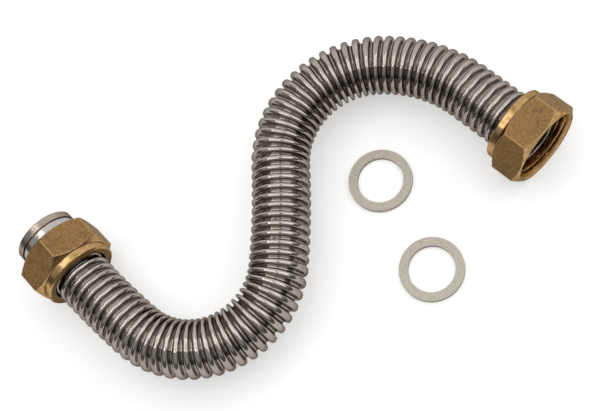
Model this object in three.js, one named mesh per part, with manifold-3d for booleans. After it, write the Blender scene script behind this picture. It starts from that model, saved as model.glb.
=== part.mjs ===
// Gas connection pipe for a boiler, DN 16: a corrugated stainless tube, formed by hand into an S,
// with a turned collar welded on each end and a loose brass union nut behind each collar.
// Two flat gaskets lie beside it. Millimetres, +Z up. +X is the outward axis of the outlet end.
// The origin is under the middle of the part, on the surface that it lies on.

import * as THREE from 'three';
import { mergeVertices } from 'three/addons/utils/BufferGeometryUtils.js';
import Module from 'manifold-3d';

// Route of the tube, from sealing face to sealing face. Turns are in degrees, positive to the left.
const inletStraight = 20.6;
const inletBendLength = 33.5;
const inletBendTurn = 5.8;
const wideBendLength = 70.5;
const wideBendTurn = 127.1;
const middleBendLength = 37.8;
const middleBendTurn = 6.9;
const backBendLength = 58.4;
const backBendTurn = -94.7;
const outletBendLength = 37.1;
const outletBendTurn = -40;
const outletStraight = 30.9;

// Corrugated tube
const crestDiameter = 21.8;
const corrugationDepth = 2.2;
const corrugationPitch = 3.53;
const tubeWall = 0.3;
const shoulderDrop = 0.35;
const shoulderReach = 0.22;
const tubeSides = 12;

// Gap between pieces that touch
const seatGap = 0.3;

// Turned end collar: sealing flange, relief groove and a second band. The flange is wider than the
// nut's hole by the lip, and its bore stands in over the tube's inside by the ledge.
const slideClearance = 0.4;
const flangeLip = 0.7;
const flangeDiameter = crestDiameter + 2 * (slideClearance + flangeLip);
const flangeLength = 3;
const flangeChamfer = 0.3;
const grooveLength = 0.4;
const grooveDepth = 1.1;
const bandStep = 0.4;
const bandLength = 2;
const boreLedge = 0.6;
const boreDiameter = crestDiameter - 2 * (corrugationDepth + tubeWall + boreLedge);

// Union nut with a 3/4 inch parallel pipe thread, 14 threads per inch, that passes over the flange
const flangeClearance = 0.64;
const threadDepth = 1.16;
const threadMajor = flangeDiameter + 2 * flangeClearance + threadDepth;
const nutWall = 1.78;
const acrossFlats = threadMajor + 2 * nutWall;
const hexLength = 12.6;
const hexChamferLength = 2;
const hexChamferWidth = 0.4;
const nutCollarInset = 0.7;
const nutCollarDiameter = acrossFlats - 2 * nutCollarInset;
const nutCollarLength = 3;
const nutCollarChamfer = 0.5;
const nutRearWall = 2.6;
const mouthChamfer = 0.8;

// Where each nut floats: how far its mouth stands past the sealing face, and how far it is turned
const inletNutReach = -7.5;
const inletNutTurn = 27.4;
const outletNutReach = 4.2;
const outletNutTurn = 0;

// Flat gaskets, as wide as the flange, with the places where they lie from the inlet sealing face
const gasketOuter = flangeDiameter;
const gasketWidth = 3.35;
const gasketInner = gasketOuter - 2 * gasketWidth;
const gasketThickness = 2;
const inletGasketX = 81.9;
const inletGasketY = 97.2;
const outletGasketX = 118.8;
const outletGasketY = 83.2;

// Facets round each turned piece
const turnedSides = 36;

const stainless = { color: 0x8c857c, roughness: 0.32, metalness: 1 };
const turnedSteel = { color: 0xa19d97, roughness: 0.28, metalness: 1 };
const brass = { color: 0x8a6a3c, roughness: 0.45, metalness: 1 };
const fibre = { color: 0xb4aea1, roughness: 0.9, metalness: 0 };

const radians = THREE.MathUtils.degToRad;
const crestRadius = crestDiameter / 2;
const valleyRadius = crestRadius - corrugationDepth;
const collarLength = flangeLength + grooveLength + bandLength;
const hexSides = 6;
const hexHalfAngle = Math.PI / hexSides;
const hexCorner = acrossFlats / 2 / Math.cos(hexHalfAngle);
const nutLength = hexLength + nutCollarLength;

const wasm = await Module();
wasm.setup();

// A solid of revolution about Z from a closed outline of [radius, z] pairs, its outside listed upward.
function turned(outline, sides) {
  const points = [...outline, outline[0]].map(([radius, z]) => new THREE.Vector2(radius, z));
  return new THREE.LatheGeometry(points, sides).rotateX(Math.PI / 2);
}

function toSolid(geometry) {
  const bare = geometry.clone();
  bare.deleteAttribute('normal');
  bare.deleteAttribute('uv');
  const merged = mergeVertices(bare);
  return new wasm.Manifold(new wasm.Mesh({
    numProp: 3,
    vertProperties: new Float32Array(merged.attributes.position.array),
    triVerts: new Uint32Array(merged.index.array),
  }));
}

function toGeometry(solid) {
  const mesh = solid.getMesh();
  const geometry = new THREE.BufferGeometry();
  geometry.setAttribute('position', new THREE.Float32BufferAttribute(mesh.vertProperties, 3));
  geometry.setIndex(new THREE.Uint32BufferAttribute(mesh.triVerts, 1));
  return geometry;
}

function piece(name, geometry, look) {
  geometry.computeVertexNormals();
  const mesh = new THREE.Mesh(geometry, new THREE.MeshStandardMaterial(look));
  mesh.name = name;
  return mesh;
}

// A nut that lies on its hexagon carries the tube's axis at this height.
function restHeight(turn) {
  return hexCorner * Math.cos(hexHalfAngle - Math.abs(radians(turn)));
}

// The route as arcs, each with its start, heading, curvature and length.
function route() {
  const runs = [
    { length: inletStraight, turn: 0 },
    { length: inletBendLength, turn: inletBendTurn },
    { length: wideBendLength, turn: wideBendTurn },
    { length: middleBendLength, turn: middleBendTurn },
    { length: backBendLength, turn: backBendTurn },
    { length: outletBendLength, turn: outletBendTurn },
    { length: outletStraight, turn: 0 },
  ];
  let heading = -radians(runs.reduce((sum, run) => sum + run.turn, 0));
  let start = 0;
  let x = 0;
  let y = 0;
  const arcs = runs.map(({ length, turn }) => {
    const arc = { start, x, y, heading, bend: radians(turn) / length };
    const end = pointOn(arc, length);
    start += length;
    ({ x, y, heading } = end);
    return arc;
  });
  return { arcs, length: start };
}

function pointOn(arc, along) {
  const heading = arc.heading + arc.bend * along;
  const chord = arc.bend ? 2 * Math.sin(arc.bend * along / 2) / arc.bend : along;
  const middle = arc.heading + arc.bend * along / 2;
  return { x: arc.x + chord * Math.cos(middle), y: arc.y + chord * Math.sin(middle), heading };
}

// The centreline rises or falls through the bends, from the height of one nut to that of the other.
function heightAt(path, along) {
  const bent = path.length - inletStraight - outletStraight;
  const share = THREE.MathUtils.smoothstep(along - inletStraight, 0, bent);
  return THREE.MathUtils.lerp(restHeight(inletNutTurn), restHeight(outletNutTurn), share);
}

function centreline(path, along) {
  const arc = path.arcs.findLast((candidate) => candidate.start <= along) ?? path.arcs[0];
  return { ...pointOn(arc, along - arc.start), z: heightAt(path, along) };
}

// The straight tube: a plain cuff at each end, and between them one corrugation after another,
// each a narrow valley and a rounded crest. The inside follows the outside one wall further in.
function tubeOutline(length) {
  const cuffStart = flangeLength + seatGap;
  const first = collarLength + seatGap;
  const last = length - first;
  const count = Math.round((last - first) / corrugationPitch);
  const pitch = (last - first) / count;
  const outside = [[valleyRadius, cuffStart]];
  const inside = [[valleyRadius - tubeWall, cuffStart]];
  for (let i = 0; i < count; i++) {
    const valley = first + i * pitch;
    const crest = valley + pitch / 2;
    outside.push(
      [valleyRadius, valley],
      [crestRadius - shoulderDrop, crest - pitch * shoulderReach],
      [crestRadius, crest],
      [crestRadius - shoulderDrop, crest + pitch * shoulderReach],
    );
    inside.push([valleyRadius - tubeWall, valley], [crestRadius - tubeWall, crest]);
  }
  outside.push([valleyRadius, last], [valleyRadius, length - cuffStart]);
  inside.push([valleyRadius - tubeWall, last], [valleyRadius - tubeWall, length - cuffStart]);
  return [...outside, ...inside.reverse()];
}

// Every ring of the straight tube is carried onto the centreline, square to it.
function bentTube(path) {
  const geometry = turned(tubeOutline(path.length), tubeSides);
  const position = geometry.attributes.position;
  for (let i = 0; i < position.count; i++) {
    const across = position.getX(i);
    const point = centreline(path, position.getZ(i));
    const x = point.x + across * Math.sin(point.heading);
    const y = point.y - across * Math.cos(point.heading);
    position.setXYZ(i, x, y, point.z - position.getY(i));
  }
  return geometry;
}

// End collar, sealing face at z = 0 and the tube behind it. The tube's cuff sits in its rear socket.
function collarGeometry() {
  const socket = valleyRadius + seatGap;
  const bore = boreDiameter / 2;
  const flange = flangeDiameter / 2;
  const band = flange - bandStep;
  const groove = flange - grooveDepth;
  return turned([
    [socket, -collarLength],
    [band, -collarLength],
    [band, -flangeLength - grooveLength],
    [groove, -flangeLength - grooveLength],
    [groove, -flangeLength],
    [flange, -flangeLength],
    [flange, -flangeChamfer],
    [flange - flangeChamfer, 0],
    [bore, 0],
    [bore, -flangeLength],
    [socket, -flangeLength],
  ], turnedSides);
}

// Union nut, mouth at z = 0: a turned blank with a round rear collar, cut by the hexagon's flats.
function nutGeometry() {
  const hole = crestRadius + slideClearance;
  const threaded = flangeDiameter / 2 + flangeClearance;
  const collar = nutCollarDiameter / 2;
  const face = acrossFlats / 2 - hexChamferWidth;
  const blank = turned([
    [hole, -nutLength],
    [collar - nutCollarChamfer, -nutLength],
    [collar, -nutLength + nutCollarChamfer],
    [collar, -hexLength],
    [face, -hexLength],
    [hexCorner, -hexLength + hexChamferLength],
    [hexCorner, -hexChamferLength],
    [face, 0],
    [threadMajor / 2, 0],
    [threaded, -mouthChamfer],
    [threaded, -nutLength + nutRearWall],
    [hole, -nutLength + nutRearWall],
  ], turnedSides);
  const prism = new THREE.CylinderGeometry(hexCorner, hexCorner, 2 * nutLength, hexSides)
    .rotateX(Math.PI / 2)
    .rotateZ(hexHalfAngle);
  return toGeometry(toSolid(blank).intersect(toSolid(prism)));
}

// A gasket lies flat on the surface.
function gasketGeometry() {
  const inner = gasketInner / 2;
  const outer = gasketOuter / 2;
  return turned([[inner, 0], [outer, 0], [outer, gasketThickness], [inner, gasketThickness]], turnedSides);
}

// One end of the pipe, its local +Z pointing out of the bore and its local +Y up.
function endFitting(name, place, outward, nutReach, nutTurn) {
  const fitting = new THREE.Group();
  fitting.applyMatrix4(new THREE.Matrix4().makeBasis(
    new THREE.Vector3(-Math.sin(outward), Math.cos(outward), 0),
    new THREE.Vector3(0, 0, 1),
    new THREE.Vector3(Math.cos(outward), Math.sin(outward), 0),
  ).setPosition(place.x, place.y, place.z));
  const nut = piece(`${name}_union_nut`, nutGeometry(), brass);
  nut.position.z = nutReach;
  nut.rotation.z = radians(nutTurn);
  fitting.add(piece(`${name}_collar`, collarGeometry(), turnedSteel), nut);
  return fitting;
}

function looseGasket(name, x, y) {
  const gasket = piece(name, gasketGeometry(), fibre);
  gasket.position.set(x, y, 0);
  return gasket;
}

const path = route();
const inlet = centreline(path, 0);
const outlet = centreline(path, path.length);

const pipe = new THREE.Group();
pipe.add(piece('corrugated_tube', bentTube(path), stainless));
pipe.add(endFitting('inlet', inlet, inlet.heading + Math.PI, inletNutReach, inletNutTurn));
pipe.add(endFitting('outlet', outlet, outlet.heading, outletNutReach, outletNutTurn));
pipe.add(looseGasket('inlet_gasket', inletGasketX, inletGasketY));
pipe.add(looseGasket('outlet_gasket', outletGasketX, outletGasketY));

const extent = new THREE.Box3().setFromObject(pipe, true);
const middle = extent.getCenter(new THREE.Vector3());
pipe.position.set(-middle.x, -middle.y, -extent.min.z);
pipe.updateMatrixWorld(true);

export default pipe;
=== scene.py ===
import math

import bmesh
import bpy
from mathutils import Matrix, Vector


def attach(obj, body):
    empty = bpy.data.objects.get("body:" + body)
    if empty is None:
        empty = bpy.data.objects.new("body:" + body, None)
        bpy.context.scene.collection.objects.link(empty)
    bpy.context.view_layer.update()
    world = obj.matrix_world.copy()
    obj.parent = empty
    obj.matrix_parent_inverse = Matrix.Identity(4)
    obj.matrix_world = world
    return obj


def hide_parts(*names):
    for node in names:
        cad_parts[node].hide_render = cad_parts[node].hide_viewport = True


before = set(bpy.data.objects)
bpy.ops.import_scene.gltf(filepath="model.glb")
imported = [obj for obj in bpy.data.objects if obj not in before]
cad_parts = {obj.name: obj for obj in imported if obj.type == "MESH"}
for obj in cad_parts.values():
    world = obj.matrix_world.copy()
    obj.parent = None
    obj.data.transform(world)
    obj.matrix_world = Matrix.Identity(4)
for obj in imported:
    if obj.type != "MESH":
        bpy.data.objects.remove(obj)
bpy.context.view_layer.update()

mm = 0.001
white = (1.0, 1.0, 1.0, 1.0)
noiseSpread = {"From Min": 0.3, "From Max": 0.7}    # nearly all values of a noise texture lie in here


# shared helpers: colours, nodes, objects, meshes

def srgb(code):
    # a hex colour, turned to the linear values that the nodes work in
    parts = [int(code[i:i + 2], 16) / 255 for i in (1, 3, 5)]
    linear = [c / 12.92 if c <= 0.04045 else ((c + 0.055) / 1.055) ** 2.4 for c in parts]
    return (*linear, 1.0)


def addNode(tree, kind, inputs=None, **settings):
    # one node with its settings, and a value or a link for each named input
    node = tree.nodes.new(kind)
    for name, value in settings.items():
        setattr(node, name, value)
    for key, value in (inputs or {}).items():
        if isinstance(value, bpy.types.NodeSocket):
            tree.links.new(value, node.inputs[key])
        else:
            node.inputs[key].default_value = value
    return node


def newMaterial(name):
    material = bpy.data.materials.new(name)
    material.use_nodes = True
    tree = material.node_tree
    tree.nodes.clear()
    return material, tree


def addObject(name, data):
    added = bpy.data.objects.new(name, data)
    bpy.context.scene.collection.objects.link(added)
    return added


def finishMesh(mesh, sharpAbove, weld=None):
    # faces turned outwards, and smooth where they meet at less than the angle, in degrees
    shape = bmesh.new()
    shape.from_mesh(mesh)
    if weld:
        bmesh.ops.remove_doubles(shape, verts=shape.verts, dist=weld)
    bmesh.ops.recalc_face_normals(shape, faces=shape.faces)
    shape.to_mesh(mesh)
    shape.free()
    mesh.shade_smooth()
    mesh.set_sharp_from_angle(angle=math.radians(sharpAbove))


# materials

def makeStainlessTube():
    # hydroformed and annealed stainless strip: satin and warm grey, with a darker film in clouds, and a
    # painted shade that makes the valleys a little darker
    look = {
        "crest": "#a19a94",
        "film": "#867f79",
        # painted shade: the valleys are coloured a little darker than the crests
        "valley": "#989089",
        "rim": "#a19b95",         # the edge tint dims the steel where it turns away from the eye: a painted darker reflection along the rims
        "roughness": (0.07, 0.14),
        "cloudScale": 120,        # tint clouds of about 8 mm
        "filmRange": {"From Min": 0.42, "From Max": 0.72, "To Max": 0.55},
        "valleyShadeRange": {"From Min": 0.0, "From Max": 0.4},    # where the painted valley shade gives way to the crest's colour
        "grainScale": 2600,       # drawing marks, drawn at 0.4 mm so that they show
        "grainBump": 0.06,
        "grainDepth": 0.1 * mm,
    }
    material, tree = newMaterial("stainlessTubeSatin")
    coords = addNode(tree, "ShaderNodeTexCoord")
    profile = addNode(tree, "ShaderNodeAttribute", attribute_name="crestShare")
    clouds = addNode(tree, "ShaderNodeTexNoise",
                     {"Vector": coords.outputs["Object"], "Scale": look["cloudScale"], "Detail": 3.0})
    grain = addNode(tree, "ShaderNodeTexNoise",
                    {"Vector": coords.outputs["Object"], "Scale": look["grainScale"], "Detail": 2.0})
    film = addNode(tree, "ShaderNodeMapRange", {"Value": clouds.outputs["Fac"], **look["filmRange"]})
    skin = addNode(tree, "ShaderNodeMix",
                   {"Factor": film.outputs["Result"], "A": srgb(look["crest"]), "B": srgb(look["film"])},
                   data_type="RGBA")
    # the darker valley colour is painted shade, laid where the profile sinks
    depth = addNode(tree, "ShaderNodeMapRange", {"Value": profile.outputs["Fac"], **look["valleyShadeRange"]})
    colour = addNode(tree, "ShaderNodeMix",
                     {"Factor": depth.outputs["Result"], "A": srgb(look["valley"]),
                      "B": skin.outputs["Result"]}, data_type="RGBA")
    rough = addNode(tree, "ShaderNodeMapRange",
                    {"Value": clouds.outputs["Fac"], **noiseSpread,
                     "To Min": look["roughness"][0], "To Max": look["roughness"][1]})
    bump = addNode(tree, "ShaderNodeBump",
                   {"Height": grain.outputs["Fac"], "Strength": look["grainBump"],
                    "Distance": look["grainDepth"]})
    shader = addNode(tree, "ShaderNodeBsdfPrincipled",
                     {"Base Color": colour.outputs["Result"], "Roughness": rough.outputs["Result"],
                      "Metallic": 1.0, "Specular Tint": srgb(look["rim"]),
                      "Normal": bump.outputs["Normal"]})
    addNode(tree, "ShaderNodeOutputMaterial", {"Surface": shader.outputs["BSDF"]})
    return material


def makeTurned(name, look):
    # a lathe leaves fine rings, which the "turning" attribute carries round the axis, and the edge tint
    # dims the metal where it turns away from the eye, a painted darker reflection; ringScale counts the
    # tool's lines in each mm, and stainScale the stains in each metre
    stainRange = {"From Min": 0.4, "From Max": 0.75}
    broadScale = look["ringScale"] / 6        # the finish changes over six rings
    ringDepth = 0.05 * mm
    material, tree = newMaterial(name)
    rings = addNode(tree, "ShaderNodeAttribute", attribute_name="turning")
    coords = addNode(tree, "ShaderNodeTexCoord")
    line = addNode(tree, "ShaderNodeTexNoise",
                   {"Vector": rings.outputs["Vector"], "Scale": look["ringScale"], "Detail": 2.0})
    broad = addNode(tree, "ShaderNodeTexNoise",
                    {"Vector": rings.outputs["Vector"], "Scale": broadScale, "Detail": 1.0})
    stains = addNode(tree, "ShaderNodeTexNoise",
                     {"Vector": coords.outputs["Object"], "Scale": look["stainScale"], "Detail": 4.0})
    tint = addNode(tree, "ShaderNodeMapRange",
                   {"Value": stains.outputs["Fac"], **stainRange, "To Max": look["stainShare"]})
    colour = addNode(tree, "ShaderNodeMix",
                     {"Factor": tint.outputs["Result"], "A": srgb(look["metal"]),
                      "B": srgb(look["stain"])}, data_type="RGBA")
    rough = addNode(tree, "ShaderNodeMapRange",
                    {"Value": broad.outputs["Fac"], **noiseSpread,
                     "To Min": look["roughness"][0], "To Max": look["roughness"][1]})
    bump = addNode(tree, "ShaderNodeBump",
                   {"Height": line.outputs["Fac"], "Strength": look["ringBump"], "Distance": ringDepth})
    shader = addNode(tree, "ShaderNodeBsdfPrincipled",
                     {"Base Color": colour.outputs["Result"], "Roughness": rough.outputs["Result"],
                      "Metallic": 1.0, "Specular Tint": srgb(look["rim"]),
                      "Normal": bump.outputs["Normal"]})
    addNode(tree, "ShaderNodeOutputMaterial", {"Surface": shader.outputs["BSDF"]})
    return material


def makeForgedBrass():
    # hot-forged brass: a dull, pitted oxide skin on the flats, rubbed bright along the edges
    look = {
        "skin": "#95744a",
        "dark": "#745730",
        "speck": "#35281a",
        "stain": "#54452f",
        "rubbed": "#b08a55",
        "rim": "#a29b94",         # the edge tint dulls the skin where it turns away from the eye, a painted darker reflection
        "metallic": 0.4,          # the oxide hides most of the metal
        "roughness": (0.4, 0.58),
        "mottleScale": 1400,      # grain of about 0.7 mm
        "mottleRange": {"From Min": 0.38, "From Max": 0.64},
        "speckScale": 2300,       # pits of about 0.45 mm
        "speckRange": {"From Min": 0.57, "From Max": 0.66, "To Max": 0.7},
        "stainScale": 170,        # dark stains of about 6 mm
        "stainRange": {"From Min": 0.52, "From Max": 0.66, "To Max": 0.62},
        "rubRange": {"From Min": 0.15, "From Max": 0.45},
        "pitBump": 0.45,
        "pitDepth": 0.12 * mm,
    }
    material, tree = newMaterial("forgedBrassSkin")
    coords = addNode(tree, "ShaderNodeTexCoord")
    edge = addNode(tree, "ShaderNodeAttribute", attribute_name="edgeWear")
    mottle = addNode(tree, "ShaderNodeTexNoise",
                     {"Vector": coords.outputs["Object"], "Scale": look["mottleScale"], "Detail": 5.0,
                      "Roughness": 0.62})
    specks = addNode(tree, "ShaderNodeTexNoise",
                     {"Vector": coords.outputs["Object"], "Scale": look["speckScale"], "Detail": 3.0})
    smoke = addNode(tree, "ShaderNodeTexNoise",
                    {"Vector": coords.outputs["Object"], "Scale": look["stainScale"], "Detail": 7.0,
                     "Roughness": 0.75})
    shade = addNode(tree, "ShaderNodeMapRange", {"Value": mottle.outputs["Fac"], **look["mottleRange"]})
    skin = addNode(tree, "ShaderNodeMix",
                   {"Factor": shade.outputs["Result"], "A": srgb(look["skin"]), "B": srgb(look["dark"])},
                   data_type="RGBA")
    dots = addNode(tree, "ShaderNodeMapRange", {"Value": specks.outputs["Fac"], **look["speckRange"]})
    dotted = addNode(tree, "ShaderNodeMix",
                     {"Factor": dots.outputs["Result"], "A": skin.outputs["Result"],
                      "B": srgb(look["speck"])}, data_type="RGBA")
    cover = addNode(tree, "ShaderNodeMapRange", {"Value": smoke.outputs["Fac"], **look["stainRange"]})
    stained = addNode(tree, "ShaderNodeMix",
                      {"Factor": cover.outputs["Result"], "A": dotted.outputs["Result"],
                       "B": srgb(look["stain"])}, data_type="RGBA")
    wear = addNode(tree, "ShaderNodeMath", {0: edge.outputs["Fac"], 1: mottle.outputs["Fac"]},
                   operation="MULTIPLY")
    rub = addNode(tree, "ShaderNodeMapRange", {"Value": wear.outputs["Value"], **look["rubRange"]})
    colour = addNode(tree, "ShaderNodeMix",
                     {"Factor": rub.outputs["Result"], "A": stained.outputs["Result"],
                      "B": srgb(look["rubbed"])}, data_type="RGBA")
    rough = addNode(tree, "ShaderNodeMapRange",
                    {"Value": rub.outputs["Result"], "To Min": look["roughness"][1],
                     "To Max": look["roughness"][0]})
    height = addNode(tree, "ShaderNodeMath", {0: mottle.outputs["Fac"], 1: specks.outputs["Fac"]},
                     operation="SUBTRACT")
    bump = addNode(tree, "ShaderNodeBump",
                   {"Height": height.outputs["Value"], "Strength": look["pitBump"],
                    "Distance": look["pitDepth"]})
    shader = addNode(tree, "ShaderNodeBsdfPrincipled",
                     {"Base Color": colour.outputs["Result"], "Roughness": rough.outputs["Result"],
                      "Metallic": look["metallic"], "Specular Tint": srgb(look["rim"]),
                      "Normal": bump.outputs["Normal"]})
    addNode(tree, "ShaderNodeOutputMaterial", {"Surface": shader.outputs["BSDF"]})
    return material


def makeGasketFibre():
    # compressed fibre sheet: matt, beige grey, with short fibres and a faint mottle
    look = {
        "sheet": "#b0aa9c",
        "fibre": "#9f998b",
        "pale": "#b5afa1",
        "tonePlaces": (0.3, 0.5, 0.75),                  # mottle values of fibre, sheet and pale
        "roughness": 0.85,
        "mottleScale": 1100,                             # mottle of about 0.9 mm
        "fibreScale": 2200,                              # fibres of about 0.45 mm
        "fibreStretch": (1.0, 0.35, 1.0),                # and nearly three times as long
        "fibreTurn": (0.0, 0.0, 0.6),                    # lying askew to both axes
        "fibreRange": {"From Min": 0.55, "From Max": 0.75, "To Max": 0.4},
        "fibreBump": 0.25,
        "fibreDepth": 0.05 * mm,
    }
    material, tree = newMaterial("compressedFibreSheet")
    coords = addNode(tree, "ShaderNodeTexCoord")
    stretch = addNode(tree, "ShaderNodeMapping",
                      {"Vector": coords.outputs["Object"], "Scale": look["fibreStretch"],
                       "Rotation": look["fibreTurn"]})
    mottle = addNode(tree, "ShaderNodeTexNoise",
                     {"Vector": coords.outputs["Object"], "Scale": look["mottleScale"], "Detail": 4.0})
    fibres = addNode(tree, "ShaderNodeTexNoise",
                     {"Vector": stretch.outputs["Vector"], "Scale": look["fibreScale"], "Detail": 3.0})
    tone = addNode(tree, "ShaderNodeValToRGB", {"Fac": mottle.outputs["Fac"]})
    stops = tone.color_ramp.elements
    stops.new(0.5)
    for stop, place, shade in zip(stops, look["tonePlaces"], ("fibre", "sheet", "pale")):
        stop.position, stop.color = place, srgb(look[shade])
    strands = addNode(tree, "ShaderNodeMapRange", {"Value": fibres.outputs["Fac"], **look["fibreRange"]})
    colour = addNode(tree, "ShaderNodeMix",
                     {"Factor": strands.outputs["Result"], "A": tone.outputs["Color"],
                      "B": srgb(look["fibre"])}, data_type="RGBA")
    bump = addNode(tree, "ShaderNodeBump",
                   {"Height": fibres.outputs["Fac"], "Strength": look["fibreBump"],
                    "Distance": look["fibreDepth"]})
    shader = addNode(tree, "ShaderNodeBsdfPrincipled",
                     {"Base Color": colour.outputs["Result"], "Roughness": look["roughness"],
                      "Normal": bump.outputs["Normal"]})
    addNode(tree, "ShaderNodeOutputMaterial", {"Surface": shader.outputs["BSDF"]})
    return material


stainlessTube = makeStainlessTube()
# the sealing flange keeps a warm satin from the tool
turnedSteel = makeTurned("turnedSteel", {
    "metal": "#9c9187", "rim": "#a8a29c", "stain": "#7a6e61", "stainScale": 260, "stainShare": 0.6,
    "ringScale": 9, "ringBump": 0.2, "roughness": (0.16, 0.28),
})
# the band behind it is polished, so it mirrors the lights
polishedSteel = makeTurned("polishedSteel", {
    "metal": "#b1afad", "rim": "#b4b1af", "stain": "#8a8582", "stainScale": 260, "stainShare": 0.4,
    "ringScale": 12, "ringBump": 0.22, "roughness": (0.08, 0.16),
})
# heat and flux left a brown film in the collar's groove
brownedSteel = makeTurned("brownedSteel", {
    "metal": "#97734f", "rim": "#a3978c", "stain": "#5c422c", "stainScale": 500, "stainShare": 0.6,
    "ringScale": 9, "ringBump": 0.25, "roughness": (0.4, 0.5),
})
# the lathe cut the skin away from the nut's collar and chamfers, so they shine
turnedBrass = makeTurned("turnedBrass", {
    "metal": "#b89668", "rim": "#b8b1ab", "stain": "#7a5630", "stainScale": 420, "stainShare": 0.7,
    "ringScale": 7, "ringBump": 0.12, "roughness": (0.14, 0.26),
})
# the tap cut the thread last; its darker, browner colour is painted shade inside the nut
threadBrassPaintedShade = makeTurned("threadBrassPaintedShade", {
    "metal": "#9a764f", "rim": "#b0a69c", "stain": "#553a22", "stainScale": 160, "stainShare": 0.6,
    "ringScale": 7, "ringBump": 0.1, "roughness": (0.18, 0.28),
})
forgedBrass = makeForgedBrass()
gasketFibre = makeGasketFibre()
print("materials ready")


# turned pieces: an outline of (radius, height) in millimetres, carried round an axis

cornerSettings = {
    "arcRows": 3,
    "arcShare": 0.3,              # the most of a side that an arc may take
    "beside": 0.08,               # a row this far from the arc keeps the face beside it flat to the eye
    "besideShare": 0.45,
}
cornerRows = cornerSettings["arcRows"] + 2
turnedSettings = {
    "weld": 1e-7,                 # in metres
    "sharpAbove": 40,             # degrees
    "ringDrift": 0.15,            # lets the turned rings vary a little round the axis
}


def roundCorners(outline, radius):
    # each corner of a closed outline becomes a small arc, kept clear of its neighbours
    steps, share = cornerSettings["arcRows"], cornerSettings["arcShare"]
    beside, limit = cornerSettings["beside"], cornerSettings["besideShare"]
    rounded = []
    for i, corner in enumerate(outline):
        here = Vector(corner)
        before, after = Vector(outline[i - 1]) - here, Vector(outline[(i + 1) % len(outline)]) - here
        reach = min(radius, share * before.length, share * after.length)
        start, end = here + before.normalized() * reach, here + after.normalized() * reach
        rounded.append(tuple(here + before.normalized() * min(reach + beside, limit * before.length)))
        for k in range(steps):
            t = k / (steps - 1)
            rounded.append(tuple((1 - t) ** 2 * start + 2 * t * (1 - t) * here + t * t * end))
        rounded.append(tuple(here + after.normalized() * min(reach + beside, limit * after.length)))
    return rounded


def turnedPiece(name, columns, angles, place, materials, pickMaterial=None, wearOf=None):
    # columns holds one closed outline for each angle, all with as many points
    rows, turns = len(columns[0]), len(columns)
    drift = turnedSettings["ringDrift"]
    points, rings, wear = [], [], []
    for column, angle in zip(columns, angles):
        travelled = 0.0
        for k, (radius, height) in enumerate(column):
            if k:
                last = column[k - 1]
                travelled += math.hypot(radius - last[0], height - last[1])
            points.append(place @ Vector((radius * math.cos(angle) * mm, radius * math.sin(angle) * mm,
                                          height * mm)))
            rings += [drift * math.cos(angle), drift * math.sin(angle), travelled]
            wear.append(wearOf(angle, k, radius) if wearOf else 0.0)
    faces, slots = [], []
    for i in range(turns):
        j = (i + 1) % turns
        for k in range(rows):
            n = (k + 1) % rows
            faces.append((i * rows + k, j * rows + k, j * rows + n, i * rows + n))
            slots.append(pickMaterial(k) if pickMaterial else 0)
    mesh = bpy.data.meshes.new(name)
    mesh.from_pydata(points, [], faces)
    mesh.polygons.foreach_set("material_index", slots)
    mesh.attributes.new("turning", "FLOAT_VECTOR", "POINT").data.foreach_set("vector", rings)
    mesh.attributes.new("edgeWear", "FLOAT", "POINT").data.foreach_set("value", wear)
    for material in materials:
        mesh.materials.append(material)
    finishMesh(mesh, turnedSettings["sharpAbove"], turnedSettings["weld"])
    return addObject(name, mesh)


def evenAngles(count):
    return [2 * math.pi * i / count for i in range(count)]


# where each end's sealing face stands, and which way it looks
ends = {
    "inlet": {"face": Vector((-64.88, -70.6455, 17.3027)), "outward": math.radians(174.9)},
    "outlet": {"face": Vector((56.38, 70.25, 15.0)), "outward": 0.0},
}


def endPlace(end, reach=0.0, turn=0.0):
    # local Z points out of the bore and local Y up, as in the solids
    outward = end["outward"]
    basis = Matrix(((-math.sin(outward), 0.0, math.cos(outward)),
                    (math.cos(outward), 0.0, math.sin(outward)),
                    (0.0, 1.0, 0.0))).to_4x4()
    return (Matrix.Translation(end["face"] * mm) @ basis
            @ Matrix.Translation((0.0, 0.0, reach * mm)) @ Matrix.Rotation(turn, 4, "Z"))


# corrugated tube

tubeSettings = {
    "start": (-64.88, -70.6455),
    "runs": [(20.6, 0.0), (33.5, 5.8), (70.5, 127.1), (37.8, 6.9), (58.4, -94.7), (37.1, -40.0),
             (30.9, 0.0)],        # length in mm and turn in degrees
    "heights": (17.3027, 15.0),
    "cuff": 3.3,                  # the tube starts this far behind each sealing face
    "cuffEdge": 0.1,              # with a row this far inside its edge
    "first": 5.7,                 # and its corrugations start here
    "firstEdge": 0.05,            # with a row this far outside them
    "lastEdge": 0.001,            # and one just inside their end, where the last ring still counts
    "corrugations": 79,
    "crestRadius": 10.9,
    "valleyRadius": 8.7,
    "crestWidth": 0.62,           # share of the pitch that the rounded crest takes
    "crestHeight": 0.42,          # share of the depth, and the rounded valley has the rest
    "crestRows": 8,
    "valleyRows": 3,              # on each side of a crest
    "wall": 0.3,
    "sides": 48,
    "dent": 0.055,                # uneven forming, in mm
    "dentScale": 230.0,           # dents of about 4 mm
    "seed": 4.0,
    "weld": 1e-6,                 # in metres
    "sharpAbove": 55,             # degrees
}


def routePoint(along, settings):
    # the wire's place after so many millimetres, with a soft change of height between the end runs
    runs = settings["runs"]
    total = sum(length for length, _ in runs)
    x, y = settings["start"]
    heading = -math.radians(sum(turn for _, turn in runs))
    left = along
    for length, turn in runs:
        step = min(left, length)
        bend = math.radians(turn) / length
        chord = 2 * math.sin(bend * step / 2) / bend if bend else step
        x += chord * math.cos(heading + bend * step / 2)
        y += chord * math.sin(heading + bend * step / 2)
        heading += bend * step
        left -= step
        if left <= 0:
            break
    share = (along - runs[0][0]) / (total - runs[0][0] - runs[-1][0])
    share = min(max(share, 0.0), 1.0)
    share = share * share * (3 - 2 * share)
    low, high = settings["heights"]
    return Vector((x, y, low + (high - low) * share)) * mm


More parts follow.
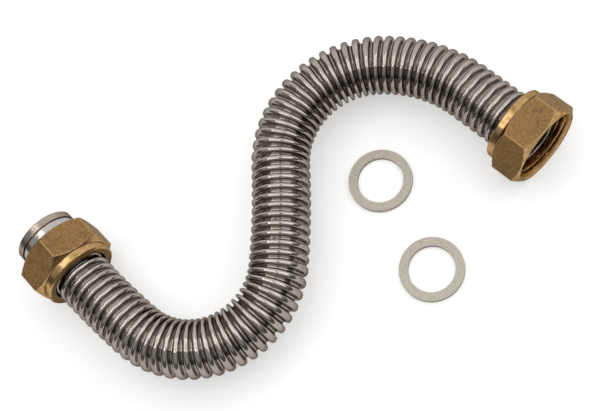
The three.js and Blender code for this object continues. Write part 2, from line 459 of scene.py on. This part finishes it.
def ringFormulas():
    # one row for each Math node: its name, its operation, and what it works on
    formulas = [
        ("fromLead", "SUBTRACT", "Along", "Lead"),
        ("ringCount", "DIVIDE", "fromLead", "Pitch"),
        ("phase", "FRACT", "ringCount"),
        ("offCrest", "SUBTRACT", "phase", 0.5),
        ("fromCrest", "ABSOLUTE", "offCrest"),
        ("fromValley", "SUBTRACT", 0.5, "fromCrest"),
        ("afterLead", "GREATER_THAN", "Along", "Lead"),
        ("farLead", "SUBTRACT", "Total", "Lead"),
        ("beforeEnd", "LESS_THAN", "Along", "farLead"),
        ("ribbed", "MULTIPLY", "afterLead", "beforeEnd"),
        ("depth", "SUBTRACT", "Crest Radius", "Valley Radius"),
        ("valleyHeight", "SUBTRACT", 1.0, "Crest Height"),
        ("wallShare", "DIVIDE", "Wall", "Pitch"),
        ("outerCrestHalf", "MULTIPLY", "Crest Width", 0.5),
        ("innerCrestHalf", "SUBTRACT", "outerCrestHalf", "wallShare"),
        ("innerFloor", "SUBTRACT", "Valley Radius", "Wall"),
        ("unevenness", "SUBTRACT", "Noise", 0.5),
        ("dentReach", "MULTIPLY", "Dent", 4.0),       # the noise stays within a quarter of its middle
        ("bulge", "MULTIPLY", "unevenness", "dentReach"),
    ]
    for side, floor in (("outer", "Valley Radius"), ("inner", "innerFloor")):
        formulas.append((f"{side}ValleyHalf", "SUBTRACT", 0.5, f"{side}CrestHalf"))
        # half an ellipse over each crest, and half a smaller one, upside down, in each valley
        for part in ("Crest", "Valley"):
            half = f"{side}{part}"
            formulas += [
                (f"{half}Share", "DIVIDE", f"from{part}", f"{half}Half"),
                (f"{half}Square", "MULTIPLY", f"{half}Share", f"{half}Share"),
                (f"{half}Left", "SUBTRACT", 1.0, f"{half}Square"),
                (f"{half}Inside", "MAXIMUM", f"{half}Left", 0.0),
                (f"{half}Arc", "SQRT", f"{half}Inside"),
            ]
        formulas += [
            (f"{side}Climb", "SUBTRACT", 1.0, f"{side}ValleyArc"),
            (f"{side}ValleyPart", "MULTIPLY", "valleyHeight", f"{side}Climb"),
            (f"{side}CrestPart", "MULTIPLY", "Crest Height", f"{side}CrestArc"),
            (f"{side}Ring", "ADD", f"{side}ValleyPart", f"{side}CrestPart"),
            (f"{side}Rise", "MULTIPLY", f"{side}Ring", "ribbed"),
            (f"{side}Swell", "MULTIPLY", "depth", f"{side}Rise"),
            (f"{side}Radius", "ADD", floor, f"{side}Swell"),
        ]
    return formulas


def corrugationTree(sizes, weld):
    # the route's wire becomes a curve, and two skins whose radius follows the corrugation
    tree = bpy.data.node_groups.new("corrugatedTube", "GeometryNodeTree")
    tree.interface.new_socket("Route", in_out="INPUT", socket_type="NodeSocketGeometry")
    for name, value in sizes.items():
        kind = "NodeSocketInt" if isinstance(value, int) else "NodeSocketFloat"
        tree.interface.new_socket(name, in_out="INPUT", socket_type=kind)
    tree.interface.new_socket("Tube", in_out="OUTPUT", socket_type="NodeSocketGeometry")
    given = addNode(tree, "NodeGroupInput").outputs
    curve = addNode(tree, "GeometryNodeMeshToCurve", {"Mesh": given["Route"]})
    upright = addNode(tree, "GeometryNodeSetCurveNormal", {"Curve": curve.outputs["Curve"]}, mode="Z_UP")
    noise = addNode(tree, "ShaderNodeTexNoise",
                    {"W": given["Seed"], "Scale": given["Dent Scale"], "Detail": 1.0},
                    noise_dimensions="4D")
    known = {socket.name: socket for socket in given}
    known["Along"] = addNode(tree, "GeometryNodeSplineParameter").outputs["Length"]
    known["Total"] = addNode(tree, "GeometryNodeSplineLength").outputs["Length"]
    known["Noise"] = noise.outputs["Fac"]
    for name, operation, *terms in ringFormulas():
        inputs = {i: known.get(term, term) for i, term in enumerate(terms)}
        step = addNode(tree, "ShaderNodeMath", inputs, operation=operation, label=name)
        known[name] = step.outputs["Value"]
    # the inner skin meets the outer one at both ends, which closes the wall
    tips = addNode(tree, "GeometryNodeCurveEndpointSelection").outputs["Selection"]
    closing = addNode(tree, "GeometryNodeSwitch",
                      {"Switch": tips, "False": known["innerRadius"], "True": known["outerRadius"]},
                      input_type="FLOAT")
    circle = addNode(tree, "GeometryNodeCurvePrimitiveCircle",
                     {"Resolution": given["Sides"], "Radius": 1.0})
    joined = addNode(tree, "GeometryNodeJoinGeometry")
    for rise, radius in ((known["outerRise"], known["outerRadius"]),
                         (known["innerRise"], closing.outputs["Output"])):
        stored = addNode(tree, "GeometryNodeStoreNamedAttribute",
                         {"Geometry": upright.outputs["Curve"], "Name": "crestShare", "Value": rise},
                         data_type="FLOAT", domain="POINT")
        swept = addNode(tree, "GeometryNodeCurveToMesh",
                        {"Curve": stored.outputs["Geometry"], "Profile Curve": circle.outputs["Curve"],
                         "Scale": radius})
        tree.links.new(swept.outputs["Mesh"], joined.inputs["Geometry"])
    welded = addNode(tree, "GeometryNodeMergeByDistance",
                     {"Geometry": joined.outputs["Geometry"], "Distance": weld})
    normal = addNode(tree, "GeometryNodeInputNormal")
    outward = addNode(tree, "ShaderNodeVectorMath",
                      {0: normal.outputs["Normal"], "Scale": known["bulge"]}, operation="SCALE")
    dented = addNode(tree, "GeometryNodeSetPosition",
                     {"Geometry": welded.outputs["Geometry"], "Offset": outward.outputs["Vector"]})
    real = addNode(tree, "GeometryNodeRealizeInstances", {"Geometry": dented.outputs["Geometry"]})
    coated = addNode(tree, "GeometryNodeSetMaterial",
                     {"Geometry": real.outputs["Geometry"], "Material": stainlessTube})
    addNode(tree, "NodeGroupOutput", {"Tube": coated.outputs["Geometry"]})
    return tree


def routeStops(settings, length, pitch):
    # rows close together where the profile curves, in mm along the route
    cuff, cuffEdge = settings["cuff"], settings["cuffEdge"]
    first, last = settings["first"], length - settings["first"]
    crestRows, valleyRows = settings["crestRows"], settings["valleyRows"]
    crestStep, valleyStep = round(180 / (crestRows - 1), 4), 90 / valleyRows
    half = settings["crestWidth"] / 2 * pitch
    other = pitch / 2 - half
    stops = [cuff, cuff + cuffEdge, first - settings["firstEdge"]]
    for i in range(settings["corrugations"]):
        crest = first + (i + 0.5) * pitch
        stops += [crest - pitch / 2 + other * math.sin(math.radians(valleyStep * k))
                  for k in range(valleyRows)]
        stops += [crest + half * math.sin(math.radians(-90 + crestStep * k)) for k in range(crestRows)]
        stops += [crest + pitch / 2 - other * math.sin(math.radians(valleyStep * k))
                  for k in range(valleyRows - 1, 0, -1)]
    stops += [last - settings["lastEdge"], last + settings["firstEdge"]]
    stops += [length - cuff - cuffEdge, length - cuff]
    return stops


def makeTube(settings):
    length = sum(run for run, _ in settings["runs"])
    first, last = settings["first"], length - settings["first"]
    pitch = (last - first) / settings["corrugations"]
    stops = routeStops(settings, length, pitch)
    wire = bpy.data.meshes.new("tubeRoute")
    wire.from_pydata([routePoint(stop, settings) for stop in stops],
                     [(i, i + 1) for i in range(len(stops) - 1)], [])
    route = addObject("tubeRoute", wire)
    sizes = {
        "Pitch": pitch * mm, "Lead": (first - settings["cuff"]) * mm,
        "Crest Radius": settings["crestRadius"] * mm, "Valley Radius": settings["valleyRadius"] * mm,
        "Crest Width": settings["crestWidth"], "Crest Height": settings["crestHeight"],
        "Wall": settings["wall"] * mm, "Sides": settings["sides"], "Dent": settings["dent"] * mm,
        "Dent Scale": settings["dentScale"], "Seed": settings["seed"],
    }
    modifier = route.modifiers.new("corrugation", "NODES")
    modifier.node_group = corrugationTree(sizes, settings["weld"])
    for item in modifier.node_group.interface.items_tree:
        if item.name in sizes:
            modifier[item.identifier] = sizes[item.name]
    evaluated = route.evaluated_get(bpy.context.evaluated_depsgraph_get())
    mesh = bpy.data.meshes.new_from_object(evaluated)
    bpy.data.objects.remove(route)
    finishMesh(mesh, settings["sharpAbove"])
    return addObject("corrugatedTube", mesh)


tube = makeTube(tubeSettings)
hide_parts("corrugated_tube")
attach(tube, "pipe")
print("tube", len(tube.data.polygons), "faces")


# end collars

collarSettings = {
    "bore": 7.8, "boreChamfer": 0.25, "socket": 9.0, "length": 5.4,
    "flange": 12.0, "flangeLength": 3.0, "chamfer": 0.3,
    "grooveLength": 0.4, "grooveDepth": 0.7, "bandStep": 0.4, "bandChamfer": 0.2,
    "skirt": 11.08, "skirtLength": 7.3,       # a thin skirt over the tube's first ring
    "edge": 0.14, "sides": 128,
}


def makeCollar(name, place, settings):
    bore, socket, length = settings["bore"], settings["socket"], settings["length"]
    flange, back, chamfer = settings["flange"], settings["flangeLength"], settings["chamfer"]
    band, groove = flange - settings["bandStep"], flange - settings["grooveDepth"]
    behind = back + settings["grooveLength"]
    skirt, skirtLength = settings["skirt"], settings["skirtLength"]
    boreChamfer, bandChamfer = settings["boreChamfer"], settings["bandChamfer"]
    outline = roundCorners([
        (bore + boreChamfer, 0.0), (bore, -boreChamfer), (bore, -back), (socket, -back),
        (socket, -length), (skirt, -length), (skirt, -skirtLength), (band - bandChamfer, -skirtLength),
        (band, -skirtLength + bandChamfer), (band, -behind), (groove, -behind), (groove, -back),
        (flange, -back), (flange, -chamfer), (flange - chamfer, 0.0),
    ], settings["edge"])
    # the groove lies between the outline's corners 9 and 11, and the band between 6 and 9
    grooved = range(9 * cornerRows + 3, 11 * cornerRows + 3)
    banded = range(6 * cornerRows, 9 * cornerRows + 3)
    angles = evenAngles(settings["sides"])
    return turnedPiece(name, [outline] * len(angles), angles, place,
                       [turnedSteel, brownedSteel, polishedSteel],
                       lambda row: 1 if row in grooved else 2 if row in banded else 0)


for side, end in ends.items():
    collar = makeCollar(f"{side}Collar", endPlace(end), collarSettings)
    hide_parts(f"{side}_collar")
    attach(collar, "pipe")
print("collars ready")


# union nuts

nutSettings = {
    "apothem": 15.0, "cornerRound": 0.2, "hexLength": 12.6, "chamferLength": 2.0, "chamferWidth": 0.4,
    "collarRadius": 14.3, "collarLength": 3.0, "collarChamfer": 0.5,
    "rearWall": 2.6, "hole": 11.3, "holeChamfer": 0.2,
    "threadPitch": 1.814, "threadCrest": 12.06, "threadRoot": 13.2, "threadRows": 76,
    "threadSharpness": 0.96,                  # 0 is a sine wave, 1 a sharp V
    "runOutStart": 2.6, "runOutLength": 1.2,  # the thread fades out before the rear wall
    "mouthCone": 14.35, "coneSlope": 1.35,    # radius at the face, and radius lost with each mm
    "wearWidth": 1.2,                         # rubbed edges, in corner radii
    "edge": 0.12,
    # degrees from a corner to the middle of a flat
    "sectorStops": [0.0, 0.2, 0.42, 1.2, 4.5, 8.0, 12.0, 16.0, 20.0, 25.0, 30.0],
}
nutPlaces = {
    "inlet": {"reach": -7.5, "turn": math.radians(27.4)},
    "outlet": {"reach": 4.2, "turn": 0.0},
}


def fromCornerDegrees(angle):
    # corners at 0, 60, 120 ... degrees, and flats between them
    return abs((math.degrees(angle) + 30) % 60 - 30)


def hexRadius(angle, settings):
    # the hexagon's reach at an angle, with each corner rounded
    fromCorner = fromCornerDegrees(angle)
    away = math.radians(30 - fromCorner)
    apothem, rounding = settings["apothem"], settings["cornerRound"]
    centre = (apothem - rounding) / math.cos(math.radians(30))
    tangent = math.atan(centre * math.sin(math.radians(30)) / apothem)
    if away <= tangent:
        return apothem / math.cos(away)
    off = math.radians(fromCorner)
    return centre * math.cos(off) + math.sqrt(rounding ** 2 - (centre * math.sin(off)) ** 2)


def threadRadius(height, angle, floor, settings):
    # a right-handed rounded thread, cut back by the mouth's cone and run out before the floor
    crest, root, sharpness = settings["threadCrest"], settings["threadRoot"], settings["threadSharpness"]
    phase = 2 * math.pi * (height / settings["threadPitch"]) - angle
    wave = math.asin(sharpness * math.sin(phase)) / math.asin(sharpness)
    radius = (crest + root) / 2 + (root - crest) / 2 * wave
    runOut = min(max((floor + settings["runOutStart"] - height) / settings["runOutLength"], 0.0), 1.0)
    radius = radius + (root - radius) * runOut * runOut * (3 - 2 * runOut)
    return max(radius, settings["mouthCone"] + settings["coneSlope"] * height)


def makeNut(name, place, settings):
    stops = settings["sectorStops"]
    stops = stops + [60 - stop for stop in reversed(stops[1:-1])]
    angles = [math.radians(60 * sector + stop) for sector in range(6) for stop in stops]
    hexLength, cone, root = settings["hexLength"], settings["mouthCone"], settings["threadRoot"]
    length = hexLength + settings["collarLength"]
    floor = -length + settings["rearWall"]
    sharpCorner = settings["apothem"] / math.cos(math.radians(30))
    face = settings["apothem"] - settings["chamferWidth"]
    slope = (sharpCorner - face) / settings["chamferLength"]
    collar, chamfer = settings["collarRadius"], settings["collarChamfer"]
    hole, holeChamfer = settings["hole"], settings["holeChamfer"]
    threadRows = settings["threadRows"]
    columns = []
    for angle in angles:
        flat = hexRadius(angle, settings)
        breakAt = (flat - face) / slope       # the chamfer cuts deepest at the corners
        outside = roundCorners([
            (cone, 0.0), (face, 0.0), (flat, -breakAt), (flat, -hexLength + breakAt),
            (face, -hexLength), (collar, -hexLength), (collar, -length + chamfer),
            (collar - chamfer, -length), (hole + holeChamfer, -length), (hole, -length + holeChamfer),
            (hole, floor), (root, floor),
        ], settings["edge"])
        heights = [floor - floor * k / threadRows for k in range(1, threadRows)]
        columns.append(outside + [(threadRadius(height, angle, floor, settings), height)
                                  for height in heights])
    flats = range(3 * cornerRows - 2, 3 * cornerRows + 1)      # the long step between the two chamfers
    rear = range(8 * cornerRows - 2, 8 * cornerRows + 1)       # the ring round the tube; its dark forged skin is partly its own stained look and partly painted shade, where it faces the floor close under the tube
    threadStart = len(outside) - 2
    coneDepth = (cone - root) / settings["coneSlope"]
    threadEnd = len(outside) + int(threadRows * (1 + coneDepth / floor))

    def pickMaterial(row):
        if row in flats or row in rear:
            return 0
        # the thread rows get the darker brass, painted shade inside the bore
        return 2 if threadStart <= row < threadEnd else 1

    def wearOf(angle, row, radius):
        if not 2 * cornerRows <= row < 4 * cornerRows:
            return 0.0
        fromCorner = math.radians(fromCornerDegrees(angle)) * radius
        return math.exp(-(fromCorner / (settings["wearWidth"] * settings["cornerRound"])) ** 2)

    return turnedPiece(name, columns, angles, place, [forgedBrass, turnedBrass, threadBrassPaintedShade],
                       pickMaterial, wearOf)


for side, end in ends.items():
    nutPlace = endPlace(end, nutPlaces[side]["reach"], nutPlaces[side]["turn"])
    nut = makeNut(f"{side}UnionNut", nutPlace, nutSettings)
    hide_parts(f"{side}_union_nut")
    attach(nut, f"{side}_nut")
print("nuts ready")


# flat gaskets

gasketSettings = {"inner": 8.65, "outer": 12.0, "thickness": 2.0, "edge": 0.12, "sides": 128}
gasketPlaces = {"inlet": (17.02, 26.55), "outlet": (53.92, 12.55)}    # centres, lying on the floor


def makeGasket(name, place, settings):
    inner, outer, thickness = settings["inner"], settings["outer"], settings["thickness"]
    outline = roundCorners([(inner, 0.0), (outer, 0.0), (outer, thickness), (inner, thickness)],
                           settings["edge"])
    angles = evenAngles(settings["sides"])
    return turnedPiece(name, [outline] * len(angles), angles, place, [gasketFibre])


for side, (x, y) in gasketPlaces.items():
    gasketPlace = Matrix.Translation((x * mm, y * mm, 0.0))
    gasket = makeGasket(f"{side}Gasket", gasketPlace, gasketSettings)
    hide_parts(f"{side}_gasket")
    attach(gasket, "pipe")
print("gaskets ready")


# floor, light and camera, in metres

studio = {
    "floorSize": 8.0,
    "floor": "#c9c9c8",
    "floorLift": 0.42,            # what the white sweep adds for the eye and for reflections
    "front": 0.16,                # the room's light towards the front and the sides
    "sweep": 1.2,                 # towards the back
    "sweepRange": {"From Min": 0.15, "From Max": 0.45},       # 1 is straight to the back
    "overhead": 0.55,
    "overheadRange": {"From Min": 0.2, "From Max": 0.55},     # 1 is straight up
    "lens": 78.66, "sensor": 36.0,
    "camera": (0.1732, -0.0393, 0.4559),
    "target": (-0.00203, -0.00015, 0.0),
    "upward": (-0.5893, 0.7536, 0.2912),
}
leftLamp, rightLamp = (-0.112, -0.078, 0.629), (0.267, 0.266, 0.511)
softboxes = [
    # name, place, size, radiance and a shift in the lamp's own plane
    ("leftSoftbox", leftLamp, (0.5, 0.475), 1.6, (0.0, -0.0125)),
    ("rightSoftbox", rightLamp, (0.5, 0.5), 1.6, (0.0, 0.0)),
    # bare tubes along two edges of the left softbox give the small sparks on the metal
    ("frontStrip", leftLamp, (0.014, 0.5), 10.0, (0.257, 0.0)),
    ("leftStrip", leftLamp, (0.5, 0.014), 10.0, (0.0, -0.257)),
]


def makeFloor():
    # matt white paper, lit a little for the eye and for reflections, so that it burns out to white
    material, tree = newMaterial("whiteSweep")
    path = addNode(tree, "ShaderNodeLightPath").outputs
    diffuse = addNode(tree, "ShaderNodeBsdfDiffuse", {"Color": srgb(studio["floor"])})
    seen = addNode(tree, "ShaderNodeMath", {0: path["Is Camera Ray"], 1: path["Is Glossy Ray"]},
                   operation="ADD", use_clamp=True)
    seenThrough = addNode(tree, "ShaderNodeMath",
                          {0: seen.outputs["Value"], 1: path["Is Transmission Ray"]},
                          operation="ADD", use_clamp=True)
    strength = addNode(tree, "ShaderNodeMath", {0: seenThrough.outputs["Value"], 1: studio["floorLift"]},
                       operation="MULTIPLY")
    glow = addNode(tree, "ShaderNodeEmission", {"Color": white, "Strength": strength.outputs["Value"]})
    both = addNode(tree, "ShaderNodeAddShader",
                   {0: diffuse.outputs["BSDF"], 1: glow.outputs["Emission"]})
    addNode(tree, "ShaderNodeOutputMaterial", {"Surface": both.outputs["Shader"]})
    half = studio["floorSize"] / 2
    mesh = bpy.data.meshes.new("floor")
    mesh.from_pydata([(-half, -half, 0), (half, -half, 0), (half, half, 0), (-half, half, 0)], [],
                     [(0, 1, 2, 3)])
    mesh.materials.append(material)
    addObject("floor", mesh)


def makeWorld():
    # a studio room: dark towards the front and the sides, a white sweep at the back
    world = bpy.data.worlds.new("studioRoom")
    bpy.context.scene.world = world
    world.use_nodes = True
    tree = world.node_tree
    tree.nodes.clear()
    away = Vector(studio["upward"])
    away.z = 0
    away.normalize()
    direction = addNode(tree, "ShaderNodeTexCoord").outputs["Generated"]
    facing = addNode(tree, "ShaderNodeVectorMath", {0: direction, 1: tuple(away)},
                     operation="DOT_PRODUCT")
    height = addNode(tree, "ShaderNodeSeparateXYZ", {0: direction})
    sweep = addNode(tree, "ShaderNodeMapRange",
                    {"Value": facing.outputs["Value"], **studio["sweepRange"],
                     "To Min": studio["front"], "To Max": studio["sweep"]},
                    interpolation_type="SMOOTHSTEP")
    ceiling = addNode(tree, "ShaderNodeMapRange",
                      {"Value": height.outputs["Z"], **studio["overheadRange"],
                       "To Max": studio["overhead"]},
                      interpolation_type="SMOOTHSTEP")
    level = addNode(tree, "ShaderNodeMath", {0: sweep.outputs["Result"], 1: ceiling.outputs["Result"]},
                    operation="MAXIMUM")
    shine = addNode(tree, "ShaderNodeBackground", {"Color": white, "Strength": level.outputs["Value"]})
    addNode(tree, "ShaderNodeOutputWorld", {"Surface": shine.outputs["Background"]})


def addSoftbox(name, location, size, radiance, shift):
    # the lamp faces the middle of the floor
    lamp = bpy.data.lights.new(name, "AREA")
    lamp.shape = "RECTANGLE"
    lamp.size, lamp.size_y = size
    lamp.energy = radiance * math.pi * size[0] * size[1]
    facing = (-Vector(location)).to_track_quat("-Z", "Y").to_matrix().to_4x4()
    addObject(name, lamp).matrix_world = (Matrix.Translation(location) @ facing
                                          @ Matrix.Translation((*shift, 0.0)))


def makeCamera():
    data = bpy.data.cameras.new("camera")
    data.lens, data.sensor_width = studio["lens"], studio["sensor"]
    camera = addObject("camera", data)
    location = Vector(studio["camera"])
    backward = (location - Vector(studio["target"])).normalized()
    right = Vector(studio["upward"]).cross(backward).normalized()
    above = backward.cross(right)
    turned = Matrix((right, above, backward)).transposed().to_4x4()
    camera.matrix_world = Matrix.Translation(location) @ turned
    bpy.context.scene.camera = camera


makeFloor()
makeWorld()
for softbox in softboxes:
    addSoftbox(*softbox)
makeCamera()
bpy.context.scene.view_settings.view_transform = "Standard"
print("studio ready")
